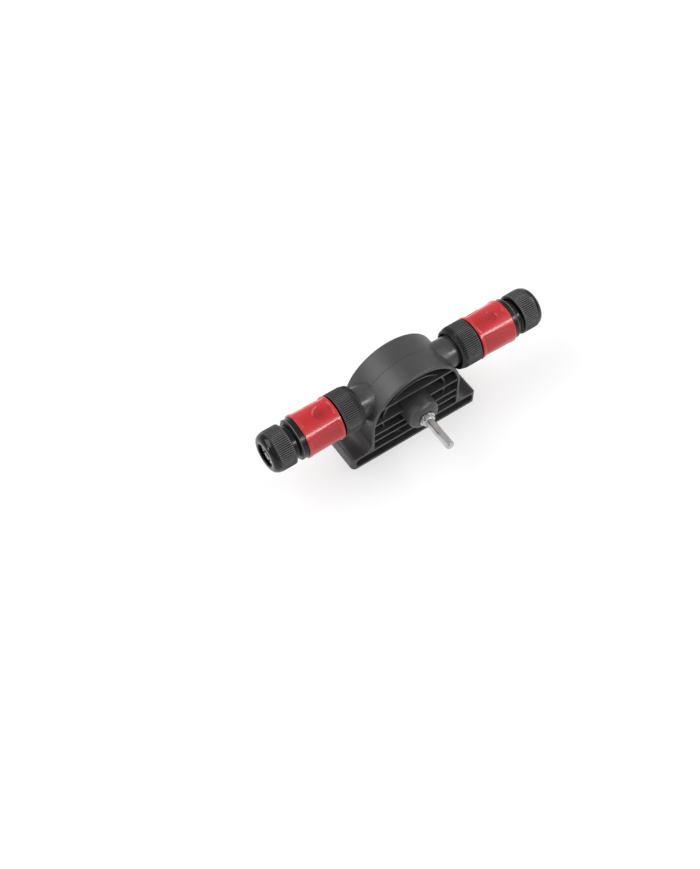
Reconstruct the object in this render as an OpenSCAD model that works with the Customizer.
/* [Base] */
// Length of the base along the line of the ports
base_w = 110; // [104:1:120]
// Depth of the housing, from the shaft side to the cover side
housing_d = 36; // [36:0.5:42]
// Height of the base
base_h = 12.5; // [11.5:0.5:14]
// Radius of the four standing corners of the base
base_corner_r = 3.5; // [1:0.5:4.5]
// Radius of the upper end corners of the base
base_end_r = 3.5; // [1:0.5:5]
// Wall above and below the long slot in the front of the base
slot_wall = 2; // [1.6:0.2:2.6]
// Wall beside the ends of the slot
slot_end_wall = 3; // [2:0.2:4]
// Radius of the ends of the slot
slot_end_r = 3.5; // [1:0.5:3.5]
// Depth of the slot from the front
slot_depth = 17; // [10:1:18]

/* [Arched body] */
// Radius of the arched body
arch_r = 38.5; // [38:0.5:42]
// How far the circle of the arch would reach below the ground
arch_sink = 2; // [0:0.5:3]
// Rounding of the front and rear edges of the arch
edge_r = 1.2; // [0.6:0.2:2]
// Radius of the fillet where the arch stands on the base
foot_fillet_r = 9; // [4:1:10]
// Step at the mould parting line, the front half being the larger
parting_step = 0.3; // [0.1:0.1:0.6]
// Thickness of the rim around the front recess
rim_wall = 2.2; // [1.6:0.2:3]
// Depth of the front recess
recess_depth = 9; // [6:0.5:9.5]
// Thickness of the wall between the front recess and the chamber
web_t = 3; // [2.4:0.2:3.4]
// Thickness of the stiffening ribs
rib_t = 1.5; // [1:0.1:2.2]
// How far the ribs stand back from the front rim
rib_setback = 0.6; // [0.2:0.1:2]
// Mean radius of the ring rib round the shaft
ring_rib_r = 27; // [22:0.2:30]
// How far the ring rib stands back from the straight ribs
ring_rib_setback = 2.8; // [0:0.2:5]

/* [Shaft boss] */
// Diameter of the boss that carries the shaft
boss_d = 25; // [22:0.5:28]
// How far the straight part of the boss stands in front of the rim
boss_proud = 7; // [4:0.5:10]
// Diameter of the boss at its tip
boss_tip_d = 14.6; // [14:0.2:18]
// Length of the rounded tip of the boss
boss_tip_len = 4.5; // [3:0.5:7]

/* [Pump chamber] */
// Width between the chamber and the edge of the cover, where the gasket and the screws are
cover_land = 10.1; // [10.1:0.1:12]
// How far the chamber centre lies below the shaft
chamber_offset = 1.5; // [1:0.1:1.9]
// Number of vanes on the impeller
vane_count = 6; // [5:1:8]
// Thickness of one vane
vane_t = 2.6; // [2:0.2:3.2]
// Radius of the round bead along the edge of a vane
vane_bead_r = 2.2; // [1.8:0.1:2.6]
// Radius of the rubber hub of the impeller
impeller_hub_r = 9.6; // [9:0.2:11]

/* [Shaft] */
// Diameter of the shaft in its bearings
shaft_d = 8; // [8:0.25:9]
// Size across the flats of the hexagonal drive end
hex_af = 6.35; // [6:0.05:6.6]
// Length of the hexagonal drive end
hex_len = 25; // [20:1:32]
// Size across the flats of the hexagonal collar
collar_af = 9.5; // [9.5:0.5:12]
// Length of the hexagonal part of the collar
collar_len = 2.6; // [2:0.2:5]
// Diameter of the flange of the collar
collar_flange_d = 12.4; // [11:0.2:14]
// Thickness of the flange of the collar
collar_flange_t = 1.1; // [0.8:0.1:2]
// Outer diameter of both plain bearings
bush_d = 12; // [11.5:0.25:12]
// Length of the front bearing
bush_len = 15; // [10:0.5:16]
// Outer diameter of the lip seal
seal_d = 16; // [14:0.5:17]
// Thickness of the lip seal
seal_t = 4.6; // [4:0.2:5]
// Outer diameter of the brass insert in the impeller
insert_d = 14; // [12.5:0.5:15]

/* [Rear cover] */
// Width of the housing outside the rear cover
cover_rim = 5.9; // [5.5:0.1:7]
// Thickness of the rear cover
cover_t = 6; // [5.5:0.25:7]
// Thickness of the gasket under the cover
gasket_t = 1; // [0.6:0.1:1.4]
// Distance of the cover screws from the edge of the cover
screw_inset = 4.3; // [4:0.1:4.6]
// Diameter of the cover screws
screw_d = 3.5; // [3:0.1:3.7]
// Diameter of a screw head
screw_head_d = 6.4; // [5.6:0.2:6.6]
// Height of a screw head
screw_head_h = 2.3; // [1.8:0.1:2.6]
// Length of a screw under its head
screw_len = 13.5; // [11:0.5:14]

/* [Ports] */
// Height of the port axis above the shaft
port_rise = 15; // [14:0.5:15.5]
// Diameter of the necks of the ports
neck_d = 24; // [22:0.5:25]
// Outer diameter of the threaded ends of the ports
thread_d = 26.2; // [26:0.1:27]
// Length of the threaded ends of the ports
thread_len = 10; // [8:0.5:12]
// Distance of the threaded ends outside the radius of the arch
neck_reach = 5.5; // [4.5:0.5:10]
// Bore of the ports
port_bore_d = 13; // [11:0.5:13]

/* [Threaded adaptors] */
// Outer diameter of the adaptor at the coupling
adaptor_d = 33; // [32.5:0.25:35]
// Outer diameter of the adaptor at the pump
adaptor_pump_d = 31; // [30.5:0.25:32]
// Length of the ribbed collar of the adaptor
adaptor_len = 17.1; // [16:0.1:18]
// Thickness of the end wall of the adaptor
adaptor_floor = 2.6; // [2:0.1:3.2]
// Thickness of the flat washer in the adaptor
washer_t = 2; // [1.6:0.1:2.6]
// Number of grip ribs on an adaptor
adaptor_ribs = 48; // [36:1:54]
// Depth of the grooves between grip ribs
grip_depth = 0.55; // [0.3:0.05:0.7]
// Diameter of the plug of the adaptor
plug_d = 16; // [15.6:0.1:16.4]
// Diameter of the locking ridge on the plug
plug_ridge_d = 19.2; // [18.4:0.1:19.4]
// Length of the plug
plug_len = 21.2; // [20:0.2:22]
// Bore of the plug
plug_bore_d = 10.6; // [9:0.2:11]

/* [Quick couplings] */
// Outer diameter of the release sleeve
sleeve_d = 33.5; // [33:0.25:35]
// Length of the release sleeve
sleeve_len = 29; // [28.6:0.1:31]
// Gap between adaptor and release sleeve
sleeve_gap = 1.2; // [0.6:0.1:1.6]
// Size across the flats of the release sleeve
sleeve_flats = 30.6; // [30.2:0.1:31.4]
// How much further out the flats lie at the hose end of the sleeve
flat_rise = 0.8; // [0.6:0.1:1]
// Depth of the grip pads below the flats of the sleeve
pad_depth = 0.7; // [0.3:0.1:0.8]
// Turn of the first grip pad from straight up to the front
pad_turn = 5; // [0:1:20]
// Travel of the release sleeve
release_travel = 4; // [3:0.5:4]
// Diameter of the body ring that shows behind the sleeve
body_ring_d = 30.8; // [30.2:0.1:30.9]
// Length of the body ring that shows behind the sleeve
body_ring_show = 5.6; // [4.5:0.1:7]
// Wire diameter of the sleeve spring
spring_wire_d = 1.1; // [0.8:0.1:1.3]
// Number of working turns of the sleeve spring
spring_turns = 4; // [3:1:5]
// Number of jaws on the claw ring
jaw_count = 4; // [3:1:6]

/* [Hose ends] */
// Outer diameter of the hose nut
nut_d = 31; // [30.5:0.25:33]
// Length of the hose nut
nut_len = 17.4; // [17:0.1:20]
// Gap between the body ring and the hose nut
nut_gap = 3.8; // [2:0.1:5]
// Number of grip ribs on a hose nut
nut_ribs = 44; // [32:1:50]
// Diameter of the thread that carries the hose nut
nut_thread_d = 26; // [25.6:0.1:26.4]
// Diameter of the hose opening in the nut
hose_hole_d = 17.6; // [17.4:0.1:18]
// Diameter of the tail that the hose is pushed on
tail_d = 12.7; // [12:0.1:13]
// Bore of the tail
tail_bore_d = 9.6; // [8:0.1:10]
// Wall of the tube that carries the nut thread
thread_tube_wall = 2.6; // [2:0.1:3]
// Number of fingers on the collet
finger_count = 8; // [6:1:10]

/* [Clearances] */
// Radial running clearance of the shaft in its bearings
running_gap = 0.05; // [0.02:0.01:0.08]
// Radial clearance between pieces that slide in one another
slide_gap = 0.1; // [0.05:0.01:0.12]
// Radial clearance between mating threads
thread_gap = 0.2; // [0.1:0.05:0.3]
// Radial clearance of pieces that are seated in another
seat_gap = 0.05; // [0.02:0.01:0.08]
// Gap between pieces that move past one another
free_gap = 0.3; // [0.2:0.05:0.4]

/* [Hidden] */
$fn = 64;
overrun = 1;
arc_steps = 6;

front_y = -housing_d / 2;
rear_y = housing_d / 2;
shaft_z = arch_r - arch_sink;
port_z = shaft_z + port_rise;
port_end = arch_r + neck_reach + thread_len;
cover_d = 2 * (arch_r - cover_rim);
chamber_r = cover_d / 2 - cover_land;
chamber_z = shaft_z - chamber_offset;
rib_level_shares = [0.50, 0.10, -0.21, -0.41];
slot_end_share = 0.45;
rib_front_y = front_y + rib_setback;
ring_rib_front_y = rib_front_y + ring_rib_setback;
web_front_y = front_y + recess_depth;
chamber_front_y = web_front_y + web_t;
chamber_rear_y = rear_y - cover_t - gasket_t;
chamber_d = chamber_rear_y - chamber_front_y;

boss_r = boss_d / 2;
boss_tip_r = boss_tip_d / 2;
boss_shoulder_y = front_y - boss_proud;
boss_tip_y = boss_shoulder_y - boss_tip_len;
bush_front_y = boss_tip_y + seat_gap;
bush_rear_y = bush_front_y + bush_len;
seal_front_y = chamber_front_y - seal_t;
shaft_hole_d = shaft_d + 2 * free_gap;

collar_rear_y = boss_tip_y - free_gap;
collar_step_y = collar_rear_y - collar_flange_t;
collar_front_y = collar_step_y - collar_len;
shaft_tip_y = collar_front_y - hex_len;
hex_tip_chamfer_share = 0.14;

cover_front_y = chamber_rear_y + gasket_t;
screw_circle_r = cover_d / 2 - screw_inset;
cover_bush_wall = 1.2;
rear_bush_rear_y = rear_y - cover_bush_wall - seat_gap;
rear_bush_front_y = cover_front_y + seat_gap;
shaft_rear_y = rear_bush_rear_y - free_gap;
screw_count = 6;
screw_cross_share = 0.62;
screw_seat_y = rear_y - screw_head_h - free_gap;
screw_tip_y = screw_seat_y - screw_len;
screw_hole_d = screw_d + 2 * seat_gap;
screw_pass_d = screw_d + 2 * thread_gap;
cover_core_depth = cover_t / 3;
cover_hub_r = bush_d / 2 + 2 * rib_t;
cover_core_r = screw_circle_r - screw_head_d / 2 - 2 * rib_t;

impeller_gap = free_gap;
impeller_front_y = chamber_front_y + impeller_gap;
impeller_rear_y = chamber_rear_y - impeller_gap;
impeller_r = chamber_r - chamber_offset - impeller_gap;
clip_t = 0.8;
clip_groove_depth = 0.5;
clip_rear_y = impeller_rear_y - seat_gap;
clip_front_y = clip_rear_y - clip_t;
clip_groove_d = shaft_d - 2 * clip_groove_depth;
clip_d = insert_d - 4 * clip_groove_depth;
insert_rear_y = clip_front_y - seat_gap;
shaft_flat_share = 0.4;
shaft_flat = shaft_flat_share * shaft_d;
clip_opening_share = 0.7;

thread_start = port_end - thread_len;
adaptor_end = port_end + washer_t + adaptor_floor;
adaptor_start = adaptor_end - adaptor_len;
adaptor_bore_d = thread_d + 2 * thread_gap;
adaptor_mouth_d = adaptor_bore_d + grip_depth;
adaptor_floor_u = port_end + washer_t;
washer_d = adaptor_bore_d - 4 * free_gap;
washer_bore_d = port_bore_d + 4 * free_gap;
plug_end = adaptor_end + plug_len;
plug_groove_share = 0.26;
plug_ridge_share = 0.14;
plug_groove_u = adaptor_end + plug_groove_share * plug_len;
plug_ridge_end_u = plug_groove_u + plug_ridge_share * plug_len;
ring_section_d = 1.9;
ring_setback = 6;
ring_groove_share = 1.3;
ring_groove_u = plug_end - ring_setback;
ring_groove_len = ring_groove_share * ring_section_d;
ring_groove_d = plug_d - 2 * ring_section_d + 2 * slide_gap;

sleeve_start = adaptor_end + sleeve_gap;
sleeve_end = sleeve_start + sleeve_len;
body_ring_end = sleeve_end + body_ring_show;
claw_setback = 1.7;
claw_band_len = 2.4;
claw_wall = 2.9;
jaw_front_u = sleeve_start + claw_setback;
jaw_rear_u = plug_groove_u - free_gap;
claw_rear_u = jaw_rear_u + claw_band_len;
claw_bore_d = plug_ridge_d + 2 * slide_gap;
claw_d = claw_bore_d + 2 * claw_wall;
jaw_bore_d = plug_d + 2 * free_gap;
jaw_arc = 50;
body_start = claw_rear_u + free_gap;
body_socket_d = plug_d + 2 * slide_gap;
body_pocket_d = plug_ridge_d + 2 * free_gap;
body_pocket_room = 1.5;
body_pocket_end = plug_ridge_end_u + body_pocket_room;
body_floor_u = plug_end + free_gap;
body_tube_wall = 3.4;
body_tube_d = body_socket_d + 2 * body_tube_wall;
land_reach = 3.8;
flare_depth = 1.4;
flare_len = 2.7;
sleeve_land_d = claw_d + 2 * slide_gap;
sleeve_flare_d = sleeve_land_d + 2 * flare_depth;
sleeve_flare_end = sleeve_start + flare_len;
sleeve_land_end = body_start + land_reach;
spring_len = 9.6;
spring_channel = 2;
spring_front_u = sleeve_land_end + seat_gap;
spring_rear_u = spring_front_u + spring_len;
flange_u = spring_rear_u + seat_gap;
flange_d = body_tube_d + 2 * spring_channel;
sleeve_bore_d = flange_d + 2 * slide_gap;
skirt_cover = 3.2;
shoulder_u = sleeve_end - skirt_cover;
sleeve_skirt_u = shoulder_u - release_travel - free_gap;
sleeve_skirt_d = body_ring_d + 2 * slide_gap;
spring_d = (body_tube_d + sleeve_bore_d) / 2;
sleeve_rim = 2.4;
flat_count = 6;
flat_start = sleeve_start + sleeve_rim;
flat_end = sleeve_end - sleeve_rim;
flat_tilt = atan(flat_rise / (flat_end - flat_start));
pad_w = 9;
pad_len = 16;
pad_start = flat_start + sleeve_rim;
window_w = 4.5;
window_len = 11;
sleeve_edge = 0.7;

nut_start = body_ring_end + nut_gap;
nut_end = nut_start + nut_len;
nut_bore_d = nut_thread_d + 2 * thread_gap;
nut_lip = 2.4;
nut_lip_u = nut_end - nut_lip;
nut_dome_len = 6.4;
nut_dome_share = 0.72;
nut_dome_u = nut_end - nut_dome_len;
nut_dome_d = nut_dome_share * nut_d;
tube_share = 0.4;
tube_end = nut_start + tube_share * nut_len;
tube_bore_d = nut_thread_d - 2 * thread_tube_wall;
socket_wall = 2;
socket_floor_u = body_ring_end + socket_wall;
tail_setback = 1;
tail_end = nut_lip_u - tail_setback;
collet_wall = 3.5;
collet_tip_wall = 1.2;
collet_start = tube_end + free_gap;
collet_end = nut_lip_u - 2 * free_gap;
collet_start_d = hose_hole_d + 2 * collet_wall;
collet_end_d = hose_hole_d + 2 * collet_tip_wall;
collet_bore_d = hose_hole_d - slide_gap;
finger_slit = 1.2;

function arc(cx, cy, r, a0, a1) =
    [for (i = [0:arc_steps]) let (a = a0 + (a1 - a0) * i / arc_steps) [cx + r * cos(a), cy + r * sin(a)]];

// Half of the level cross-section of the arched body, from its middle plane out to its rounded edges
function body_section(r) = concat(
    [[0, front_y]],
    arc(r - edge_r, front_y + edge_r, edge_r, -90, 0),
    [[r, 0], [r - parting_step, 0]],
    arc(r - parting_step - edge_r, rear_y - edge_r, edge_r, 0, 90),
    [[0, rear_y]]);

// Corners of one grip rib and its groove: share of the pitch round the grip, and share of the depth
grip_corner_shares = [[-0.30, 0], [0.30, 0], [0.42, 1], [0.58, 1]];

// Outline of a grip with straight ribs, a little larger than the grip so that its lands stay round
function grip_outline(r, depth, count) =
    [for (i = [0:count - 1], p = grip_corner_shares)
        let (a = (i + p[0]) * 360 / count, q = r + slide_gap - p[1] * (depth + slide_gap))
            [q * cos(a), q * sin(a)]];

module along_y(y0, y1) {
    translate([0, y1, 0]) rotate([90, 0, 0]) linear_extrude(y1 - y0) children();
}

module y_rod(d, y0, y1) {
    translate([0, y1, shaft_z]) rotate([90, 0, 0]) cylinder(d = d, h = y1 - y0);
}

// Solid of revolution about the shaft, drawn as radius and place along Y
module about_shaft() {
    translate([0, 0, shaft_z]) rotate([90, 0, 0]) rotate_extrude() mirror([0, 1]) children();
}

// Places a piece on the port axis of one side, so that its own Z axis runs outwards
module on_port(side) {
    translate([0, 0, port_z]) rotate([0, 90 * side, 0]) children();
}

module tube(d, bore, u0, u1) {
    translate([0, 0, u0]) difference() {
        cylinder(d = d, h = u1 - u0);
        translate([0, 0, -overrun]) cylinder(d = bore, h = u1 - u0 + 2 * overrun);
    }
}

module bore(d, u0, u1) {
    translate([0, 0, u0]) cylinder(d = d, h = u1 - u0);
}

module rounded_rect(w, d, r) {
    for (x = [-1, 1], y = [-1, 1])
        translate([x * (w / 2 - r), y * (d / 2 - r)]) circle(r = r);
    square([w - 2 * r, d], center = true);
    square([w, d - 2 * r], center = true);
}

module base_front_outline() {
    translate([0, base_h / 2]) rounded_rect(base_w, base_h, base_end_r);
    translate([-base_w / 2, 0]) square([base_w, base_h - base_end_r]);
}

module base_block() {
    intersection() {
        along_y(front_y, rear_y) base_front_outline();
        linear_extrude(base_h) rounded_rect(base_w, housing_d, base_corner_r);
    }
}

module foot_fillets() {
    reach = foot_fillet_r + parting_step + edge_r;
    along_y(front_y, rear_y)
        for (side = [0, 1]) mirror([side, 0])
            difference() {
                translate([arch_r + foot_fillet_r - reach, base_h - edge_r])
                    square([reach, foot_fillet_r + edge_r]);
                translate([arch_r + foot_fillet_r, base_h + foot_fillet_r]) circle(r = foot_fillet_r);
            }
}

module arched_body() {
    intersection() {
        about_shaft() polygon(body_section(arch_r));
        translate([-2 * arch_r, 2 * front_y, shaft_z - edge_r]) cube([4 * arch_r, 2 * housing_d, 2 * arch_r]);
    }
    translate([0, 0, edge_r]) linear_extrude(shaft_z - edge_r)
        for (side = [0, 1]) mirror([side, 0]) polygon(body_section(arch_r));
}

module recess_outline(inset) {
    r = arch_r - inset;
    intersection() {
        translate([0, shaft_z]) circle(r = r);
        translate([-r, base_h]) square([2 * r, 2 * r + shaft_z]);
    }
    translate([-r, base_h]) square([2 * r, shaft_z - base_h]);
}

module front_recess() {
    along_y(front_y - overrun, web_front_y) recess_outline(rim_wall);
}

module recess_ribs() {
    along_y(rib_front_y, web_front_y + overrun)
        intersection() {
            recess_outline(rim_wall / 2);
            for (share = rib_level_shares)
                translate([-arch_r, shaft_z + share * arch_r - rib_t / 2]) square([2 * arch_r, rib_t]);
        }
    along_y(ring_rib_front_y, web_front_y + overrun)
        intersection() {
            recess_outline(rim_wall / 2);
            translate([0, shaft_z]) difference() {
                circle(r = ring_rib_r + rib_t / 2);
                circle(r = ring_rib_r - rib_t / 2);
            }
        }
}

module base_slot() {
    slot_h = base_h - 2 * slot_wall;
    end_r = min(slot_end_r, slot_end_share * slot_h);
    along_y(front_y - overrun, front_y + slot_depth)
        translate([0, base_h / 2]) rounded_rect(base_w - 2 * slot_end_wall, slot_h, end_r);
}

module shaft_boss() {
    about_shaft()
        polygon(concat(
            [[0, web_front_y + overrun], [boss_r, web_front_y + overrun], [boss_r, boss_shoulder_y]],
            [for (i = [1:arc_steps]) let (a = 90 * i / arc_steps)
                [boss_tip_r + (boss_r - boss_tip_r) * cos(a), boss_shoulder_y - boss_tip_len * sin(a)]],
            [[0, boss_tip_y]]));
}

module port_necks() {
    for (side = [-1, 1]) on_port(side) {
        bore(neck_d, 0, thread_start + overrun);
        translate([0, 0, thread_start]) rotate_extrude()
            polygon([[0, 0], [thread_d / 2 - edge_r / 2, 0], [thread_d / 2, edge_r / 2],
                [thread_d / 2, thread_len - edge_r], [thread_d / 2 - edge_r, thread_len], [0, thread_len]]);
    }
}

module chamber_cut() {
    translate([0, chamber_rear_y + overrun, chamber_z]) rotate([90, 0, 0])
        cylinder(r = chamber_r, h = chamber_d + overrun);
    for (side = [-1, 1]) on_port(side)
        bore(port_bore_d, chamber_r / 2, port_end + overrun);
}

module cover_seat() {
    y_rod(cover_d + 2 * free_gap, chamber_rear_y, rear_y + overrun);
}

module at_screw(i) {
    rotate([0, i * 360 / screw_count, 0]) translate([screw_circle_r, 0, 0]) children();
}

module screw_rod(i, d, y0, y1) {
    translate([0, y1, shaft_z]) at_screw(i) rotate([90, 0, 0]) cylinder(d = d, h = y1 - y0);
}

module housing() {
    color([0.20, 0.20, 0.21]) difference() {
        union() {
            difference() {
                union() {
                    base_block();
                    foot_fillets();
                    arched_body();
                    port_necks();
                }
                front_recess();
                base_slot();
            }
            recess_ribs();
            shaft_boss();
        }
        chamber_cut();
        cover_seat();
        for (i = [1:screw_count])
            screw_rod(i, screw_hole_d, screw_tip_y - free_gap, chamber_rear_y + overrun);
        y_rod(bush_d + 2 * seat_gap, boss_tip_y - overrun, bush_rear_y + seat_gap);
        y_rod(shaft_hole_d, boss_tip_y - overrun, chamber_front_y + overrun);
        y_rod(seal_d + 2 * seat_gap, seal_front_y - seat_gap, chamber_front_y + overrun);
    }
}

module cover_gasket() {
    opening_r = chamber_r + chamber_offset + 2 * free_gap;
    color([0.09, 0.09, 0.09]) difference() {
        y_rod(cover_d, chamber_rear_y, cover_front_y);
        y_rod(2 * opening_r, chamber_rear_y - overrun, cover_front_y + overrun);
        for (i = [1:screw_count])
            screw_rod(i, screw_pass_d, chamber_rear_y - overrun, cover_front_y + overrun);
    }
}

module rear_cover() {
    color([0.20, 0.20, 0.21]) difference() {
        union() {
            about_shaft()
                polygon(concat([[0, cover_front_y], [cover_d / 2, cover_front_y]],
                    arc(cover_d / 2 - edge_r, rear_y - edge_r, edge_r, 0, 90), [[0, rear_y]]));
            translate([0, cover_front_y + overrun, chamber_z]) rotate([90, 0, 0])
                cylinder(r = chamber_r - free_gap, h = gasket_t + overrun);
        }
        difference() {
            y_rod(2 * cover_core_r, rear_y - cover_core_depth, rear_y + overrun);
            y_rod(2 * cover_hub_r, rear_y - cover_core_depth - overrun, rear_y + 2 * overrun);
            for (i = [1:screw_count])
                translate([0, rear_y, shaft_z]) rotate([0, (2 * i + 1) * 180 / screw_count, 0])
                    translate([0, -2 * cover_core_depth, -rib_t / 2])
                        cube([cover_d / 2, 4 * cover_core_depth, rib_t]);
        }
        for (i = [1:screw_count]) {
            screw_rod(i, screw_pass_d, chamber_rear_y - overrun, rear_y + overrun);
            screw_rod(i, screw_head_d + 2 * free_gap, screw_seat_y, rear_y + overrun);
        }
        y_rod(bush_d + 2 * seat_gap, chamber_front_y, rear_y - cover_bush_wall);
    }
}

module cover_screw(i) {
    cross_w = screw_head_h / 3;
    cross_l = screw_cross_share * screw_head_d;
    color([0.70, 0.70, 0.72]) difference() {
        union() {
            screw_rod(i, screw_head_d, screw_seat_y, screw_seat_y + screw_head_h);
            screw_rod(i, screw_d, screw_tip_y, screw_seat_y + overrun);
        }
        translate([0, screw_seat_y + screw_head_h, shaft_z]) at_screw(i) {
            cube([cross_l, screw_head_h, cross_w], center = true);
            cube([cross_w, screw_head_h, cross_l], center = true);
        }
    }
}

module cover_screw_1() { cover_screw(1); }
module cover_screw_2() { cover_screw(2); }
module cover_screw_3() { cover_screw(3); }
module cover_screw_4() { cover_screw(4); }
module cover_screw_5() { cover_screw(5); }
module cover_screw_6() { cover_screw(6); }

module front_bearing() {
    color([0.66, 0.50, 0.30]) difference() {
        y_rod(bush_d, bush_front_y, bush_rear_y);
        y_rod(shaft_d + 2 * running_gap, bush_front_y - overrun, bush_rear_y + overrun);
    }
}

module rear_bearing() {
    color([0.66, 0.50, 0.30]) difference() {
        y_rod(bush_d, rear_bush_front_y, rear_bush_rear_y);
        y_rod(shaft_d + 2 * running_gap, rear_bush_front_y - overrun, rear_bush_rear_y + overrun);
    }
}

module shaft_seal() {
    lip_r = shaft_d / 2 + running_gap;
    shell_t = (seal_d - shaft_d) / 8;
    seal_rear_y = chamber_front_y - seat_gap;
    color([0.08, 0.08, 0.08]) about_shaft()
        polygon([[lip_r + shell_t, seal_front_y], [seal_d / 2, seal_front_y], [seal_d / 2, seal_rear_y],
            [seal_d / 2 - shell_t, seal_rear_y], [seal_d / 2 - shell_t, seal_front_y + shell_t],
            [lip_r + 2 * shell_t, seal_front_y + shell_t], [lip_r + shell_t, seal_rear_y - shell_t],
            [lip_r, seal_rear_y - shell_t], [lip_r, seal_rear_y - 2 * shell_t]]);
}

module drive_shaft() {
    hex_d = hex_af / cos(30);
    tip_chamfer = hex_tip_chamfer_share * hex_d;
    color([0.78, 0.78, 0.80]) {
        difference() {
            y_rod(shaft_d, collar_front_y, shaft_rear_y);
            difference() {
                y_rod(shaft_d + 2 * overrun, clip_front_y - seat_gap, clip_rear_y + seat_gap);
                y_rod(clip_groove_d, clip_front_y - overrun, clip_rear_y + overrun);
            }
            translate([-shaft_d, impeller_front_y, shaft_z + shaft_flat])
                cube([2 * shaft_d, insert_rear_y - impeller_front_y, shaft_d]);
        }
        intersection() {
            translate([0, collar_front_y + overrun, shaft_z]) rotate([90, 0, 0])
                cylinder(d = hex_d, h = hex_len + overrun, $fn = 6);
            about_shaft()
                polygon([[0, collar_front_y + overrun], [shaft_d, collar_front_y + overrun],
                    [shaft_d, shaft_tip_y + shaft_d], [hex_d / 2, shaft_tip_y + tip_chamfer],
                    [hex_d / 2 - tip_chamfer, shaft_tip_y], [0, shaft_tip_y]]);
        }
    }
}

module shaft_collar() {
    color([0.82, 0.82, 0.84]) difference() {
        union() {
            y_rod(collar_flange_d, collar_step_y, collar_rear_y);
            intersection() {
                translate([0, collar_step_y + collar_flange_t / 2, shaft_z]) rotate([90, 0, 0])
                    cylinder(d = collar_af / cos(30), h = collar_len + collar_flange_t / 2, $fn = 6);
                about_shaft()
                    polygon([[0, collar_rear_y], [collar_af, collar_rear_y],
                        [collar_af / 2 + collar_len, collar_front_y + collar_len],
                        [collar_af / 2, collar_front_y], [0, collar_front_y]]);
            }
        }
        y_rod(shaft_d + 2 * seat_gap, collar_front_y - overrun, collar_rear_y + overrun);
    }
}

module impeller() {
    bead_r = impeller_r - vane_bead_r;
    color([0.12, 0.12, 0.12]) difference() {
        translate([0, impeller_rear_y, shaft_z]) rotate([90, 0, 0])
            linear_extrude(impeller_rear_y - impeller_front_y) {
                circle(r = impeller_hub_r);
                for (i = [0:vane_count - 1]) rotate(i * 360 / vane_count) {
                    translate([0, -vane_t / 2]) square([bead_r, vane_t]);
                    translate([bead_r, 0]) circle(r = vane_bead_r);
                }
            }
        y_rod(insert_d + 2 * seat_gap, impeller_front_y - overrun, impeller_rear_y + overrun);
    }
}

module impeller_insert() {
    color([0.72, 0.57, 0.28]) difference() {
        y_rod(insert_d, impeller_front_y, insert_rear_y);
        difference() {
            y_rod(shaft_d + 2 * seat_gap, impeller_front_y - overrun, insert_rear_y + overrun);
            translate([-shaft_d, impeller_front_y - 2 * overrun, shaft_z + shaft_flat + seat_gap])
                cube([2 * shaft_d, insert_rear_y - impeller_front_y + 4 * overrun, shaft_d]);
        }
    }
}

module shaft_clip() {
    opening = clip_opening_share * clip_groove_d;
    color([0.55, 0.55, 0.58]) difference() {
        y_rod(clip_d, clip_front_y, clip_rear_y);
        y_rod(clip_groove_d + 2 * seat_gap, clip_front_y - overrun, clip_rear_y + overrun);
        translate([-opening / 2, clip_front_y - overrun, shaft_z - clip_d])
            cube([opening, clip_t + 2 * overrun, clip_d]);
    }
}

// Outline of the adaptor collar: radius and place along the port axis
module adaptor_collar_outline() {
    pump_r = adaptor_pump_d / 2;
    coupling_r = adaptor_d / 2;
    lead = 4 * (coupling_r - pump_r);
    polygon([[0, adaptor_start], [pump_r - edge_r, adaptor_start], [pump_r, adaptor_start + edge_r],
        [coupling_r, adaptor_start + edge_r + lead], [coupling_r, adaptor_end - edge_r / 2],
        [coupling_r - edge_r / 2, adaptor_end], [0, adaptor_end]]);
}

// Outline of the plug with its locking ridge and the groove of its sealing ring
module plug_outline() {
    plug_r = plug_d / 2;
    ridge_r = plug_ridge_d / 2;
    groove_r = ring_groove_d / 2;
    root_u = adaptor_end - adaptor_floor / 2;
    groove_end_u = ring_groove_u + ring_groove_len;
    polygon([[0, root_u], [ridge_r - slide_gap, root_u], [plug_r, adaptor_end + edge_r],
        [plug_r, plug_groove_u], [ridge_r, plug_groove_u + edge_r / 2], [ridge_r, plug_groove_u + edge_r],
        [plug_r, plug_ridge_end_u], [plug_r, ring_groove_u], [groove_r, ring_groove_u],
        [groove_r, groove_end_u], [plug_r, groove_end_u], [plug_r, plug_end - edge_r],
        [plug_r - edge_r, plug_end], [0, plug_end]]);
}

module tap_adaptor(side) {
    color([0.13, 0.13, 0.14]) on_port(side) difference() {
        union() {
            intersection() {
                translate([0, 0, adaptor_start]) linear_extrude(adaptor_len)
                    polygon(grip_outline(adaptor_d / 2, grip_depth, adaptor_ribs));
                rotate_extrude() adaptor_collar_outline();
            }
            rotate_extrude() plug_outline();
        }
        bore(adaptor_bore_d, adaptor_start - overrun, adaptor_floor_u);
        bore(adaptor_mouth_d, adaptor_start - overrun, adaptor_start + edge_r);
        bore(plug_bore_d, adaptor_start, plug_end + overrun);
    }
}

module thread_washer(side) {
    color([0.10, 0.10, 0.10]) on_port(side) tube(washer_d, washer_bore_d, port_end, adaptor_floor_u);
}

module plug_ring(side) {
    ring_r = ring_groove_d / 2 + ring_section_d / 2;
    color([0.10, 0.10, 0.10]) on_port(side)
        translate([0, 0, ring_groove_u + ring_groove_len / 2]) rotate_extrude()
            translate([ring_r, 0]) circle(d = ring_section_d);
}

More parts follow.
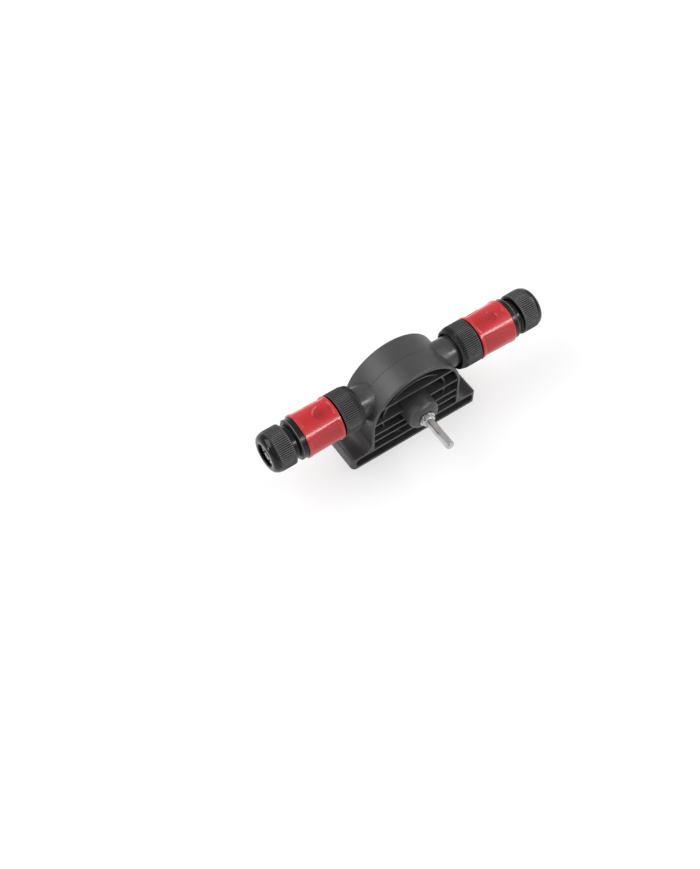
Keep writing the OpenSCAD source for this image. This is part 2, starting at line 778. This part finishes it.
module claw_ring(side) {
    step = 360 / jaw_count;
    jaw_x = claw_d * cos(jaw_arc / 2);
    jaw_y = claw_d * sin(jaw_arc / 2);
    color([0.80, 0.80, 0.78]) on_port(side) difference() {
        union() {
            tube(claw_d, claw_bore_d, jaw_front_u, claw_rear_u);
            for (i = [0:jaw_count - 1])
                intersection() {
                    tube(claw_d, jaw_bore_d, jaw_front_u, jaw_rear_u);
                    translate([0, 0, jaw_front_u]) rotate(i * step) linear_extrude(jaw_rear_u - jaw_front_u)
                        polygon([[0, 0], [jaw_x, -jaw_y], [jaw_x, jaw_y]]);
                }
        }
        rotate(step / 2) translate([0, -finger_slit, jaw_front_u - overrun])
            cube([claw_d, 2 * finger_slit, claw_rear_u - jaw_front_u + 2 * overrun]);
    }
}

// Outline of the coupling body, from the socket for the plug to the tail for the hose
module coupling_body_outline() {
    tube_r = body_tube_d / 2;
    flange_r = flange_d / 2;
    ring_r = body_ring_d / 2;
    thread_r = nut_thread_d / 2;
    tail_r = tail_d / 2;
    root_r = thread_r - edge_r / 2;
    chamfer = (ring_r - thread_r) / 2;
    polygon([[0, body_start], [tube_r, body_start], [tube_r, flange_u], [flange_r, flange_u],
        [flange_r, shoulder_u], [ring_r, shoulder_u], [ring_r, body_ring_end - chamfer],
        [ring_r - chamfer, body_ring_end], [root_r, body_ring_end], [root_r, nut_start - edge_r],
        [thread_r, nut_start - edge_r / 2], [thread_r, tube_end - edge_r], [thread_r - edge_r, tube_end],
        [tail_r, tube_end], [tail_r, tail_end - edge_r], [tail_r - edge_r / 2, tail_end], [0, tail_end]]);
}

module coupling_body(side) {
    color([0.12, 0.12, 0.13]) on_port(side) difference() {
        rotate_extrude() coupling_body_outline();
        bore(body_socket_d, body_start - overrun, body_floor_u);
        bore(body_pocket_d, body_start - overrun, body_pocket_end);
        bore(tail_bore_d, body_start, tail_end + overrun);
        difference() {
            bore(tube_bore_d, socket_floor_u, tube_end + overrun);
            bore(tail_d, socket_floor_u - overrun, tube_end + 2 * overrun);
        }
    }
}

module sleeve_pad_outline() {
    translate([-pad_w / 2, 0]) square([pad_w, pad_len - pad_w / 2]);
    translate([0, pad_len - pad_w / 2]) circle(d = pad_w);
}

// Outline of the wall of the release sleeve, with its flared mouth and the land that holds the claw ring
module sleeve_wall_outline() {
    outer_r = sleeve_d / 2;
    flare_r = sleeve_flare_d / 2;
    land_r = sleeve_land_d / 2;
    bore_r = sleeve_bore_d / 2;
    skirt_r = sleeve_skirt_d / 2;
    end_edge = sleeve_edge / 2;
    polygon(concat(
        [[flare_r, sleeve_start]],
        arc(outer_r - sleeve_edge, sleeve_start + sleeve_edge, sleeve_edge, -90, 0),
        arc(outer_r - end_edge, sleeve_end - end_edge, end_edge, 0, 90),
        [[skirt_r, sleeve_end], [skirt_r, sleeve_skirt_u], [bore_r, sleeve_skirt_u],
        [bore_r, sleeve_land_end], [land_r, sleeve_land_end],
        [land_r, sleeve_flare_end], [flare_r, sleeve_flare_end - sleeve_edge]]));
}

module release_sleeve(side) {
    step = 360 / flat_count;
    first = 90 + side * (90 + pad_turn);
    color([0.78, 0.10, 0.13]) on_port(side) difference() {
        rotate_extrude() sleeve_wall_outline();
        for (i = [0:flat_count - 1]) rotate(first + i * step)
            translate([sleeve_flats / 2, 0, flat_start]) rotate([0, flat_tilt, 0]) {
                translate([0, -sleeve_d / 2, 0]) cube([sleeve_d, sleeve_d, flat_end - flat_start]);
                if (i % 2 == 0)
                    translate([-pad_depth, 0, pad_start - flat_start]) rotate([90, 0, 90])
                        linear_extrude(sleeve_d) sleeve_pad_outline();
            }
        for (i = [-1, 2]) rotate(first + side * i * step)
            translate([0, -window_w / 2, pad_start]) cube([sleeve_d, window_w, window_len]);
    }
}

spring_rings_per_turn = 20;
spring_sides = 6;

function spring_centre(t, r, u0, u1) =
    let (a = 360 * spring_turns * t) [r * cos(a), r * sin(a), u0 + (u1 - u0) * t];

function spring_points(r, w, u0, u1) =
    let (n = spring_rings_per_turn * spring_turns)
    [for (i = [0:n]) let (c = spring_centre(i / n, r, u0, u1), a = 360 * spring_turns * i / n)
        for (j = [0:spring_sides - 1]) let (b = 360 * j / spring_sides)
            c + w / 2 * [cos(b) * cos(a), cos(b) * sin(a), sin(b)]];

function spring_faces() =
    let (n = spring_rings_per_turn * spring_turns, s = spring_sides)
    concat(
        [for (i = [0:n - 1], j = [0:s - 1]) let (k = (j + 1) % s) each [
            [i * s + j, (i + 1) * s + j, (i + 1) * s + k],
            [i * s + j, (i + 1) * s + k, i * s + k]]],
        [for (j = [1:s - 2]) [0, j, j + 1]],
        [for (j = [1:s - 2]) [n * s, n * s + j + 1, n * s + j]]);

module sleeve_spring(side) {
    w = spring_wire_d;
    color([0.70, 0.70, 0.72]) on_port(side)
        polyhedron(spring_points(spring_d / 2, w, spring_front_u + w / 2, spring_rear_u - w / 2),
            spring_faces(), convexity = 8);
}

module hose_collet(side) {
    length = collet_end - collet_start;
    bore_r = collet_bore_d / 2;
    start_r = collet_start_d / 2;
    end_r = collet_end_d / 2;
    color([0.75, 0.75, 0.73]) on_port(side) difference() {
        rotate_extrude()
            polygon([[bore_r, collet_start], [start_r - edge_r / 2, collet_start],
                [start_r, collet_start + edge_r / 2], [end_r, collet_end], [bore_r, collet_end]]);
        for (i = [0:finger_count - 1]) rotate(i * 360 / finger_count)
            translate([0, -finger_slit / 2, collet_start + length / 3])
                cube([collet_start_d, finger_slit, length]);
    }
}

// Outline of the hose nut: a straight grip and a dome towards the hose
module nut_outline() {
    nut_r = nut_d / 2;
    dome_r = nut_dome_d / 2;
    polygon(concat(
        [[0, nut_start], [nut_r - edge_r, nut_start], [nut_r, nut_start + edge_r]],
        [for (i = [0:arc_steps]) let (a = 90 * i / arc_steps)
            [dome_r + (nut_r - dome_r) * cos(a), nut_dome_u + nut_dome_len * sin(a)]],
        [[0, nut_end]]));
}

// Outline of the hollow cone in the nut that presses the collet on the hose
module nut_cone_outline() {
    wide_r = collet_start_d / 2 + 2 * slide_gap;
    narrow_r = collet_end_d / 2 + 2 * slide_gap;
    cone_u = collet_start + edge_r / 2;
    polygon([[0, cone_u - overrun], [wide_r, cone_u - overrun], [wide_r, cone_u],
        [narrow_r, collet_end], [narrow_r, nut_lip_u], [0, nut_lip_u]]);
}

module hose_nut(side) {
    color([0.13, 0.13, 0.14]) on_port(side) difference() {
        intersection() {
            union() {
                translate([0, 0, nut_start]) linear_extrude(nut_dome_u - nut_start)
                    polygon(grip_outline(nut_d / 2, grip_depth, nut_ribs));
                bore(nut_d - 2 * grip_depth, nut_start, nut_end);
            }
            rotate_extrude() nut_outline();
        }
        bore(nut_bore_d, nut_start - overrun, collet_start + edge_r / 2);
        rotate_extrude() nut_cone_outline();
        bore(hose_hole_d, nut_start, nut_end + overrun);
    }
}

module left_tap_adaptor() { tap_adaptor(-1); }
module left_thread_washer() { thread_washer(-1); }
module left_plug_ring() { plug_ring(-1); }
module left_claw_ring() { claw_ring(-1); }
module left_coupling_body() { coupling_body(-1); }
module left_release_sleeve() { release_sleeve(-1); }
module left_sleeve_spring() { sleeve_spring(-1); }
module left_hose_collet() { hose_collet(-1); }
module left_hose_nut() { hose_nut(-1); }
module right_tap_adaptor() { tap_adaptor(1); }
module right_thread_washer() { thread_washer(1); }
module right_plug_ring() { plug_ring(1); }
module right_claw_ring() { claw_ring(1); }
module right_coupling_body() { coupling_body(1); }
module right_release_sleeve() { release_sleeve(1); }
module right_sleeve_spring() { sleeve_spring(1); }
module right_hose_collet() { hose_collet(1); }
module right_hose_nut() { hose_nut(1); }

housing();
cover_gasket();
rear_cover();
cover_screw_1();
cover_screw_2();
cover_screw_3();
cover_screw_4();
cover_screw_5();
cover_screw_6();
front_bearing();
rear_bearing();
shaft_seal();
drive_shaft();
shaft_collar();
impeller();
impeller_insert();
shaft_clip();
left_tap_adaptor();
left_thread_washer();
left_plug_ring();
left_claw_ring();
left_coupling_body();
left_release_sleeve();
left_sleeve_spring();
left_hose_collet();
left_hose_nut();
right_tap_adaptor();
right_thread_washer();
right_plug_ring();
right_claw_ring();
right_coupling_body();
right_release_sleeve();
right_sleeve_spring();
right_hose_collet();
right_hose_nut();
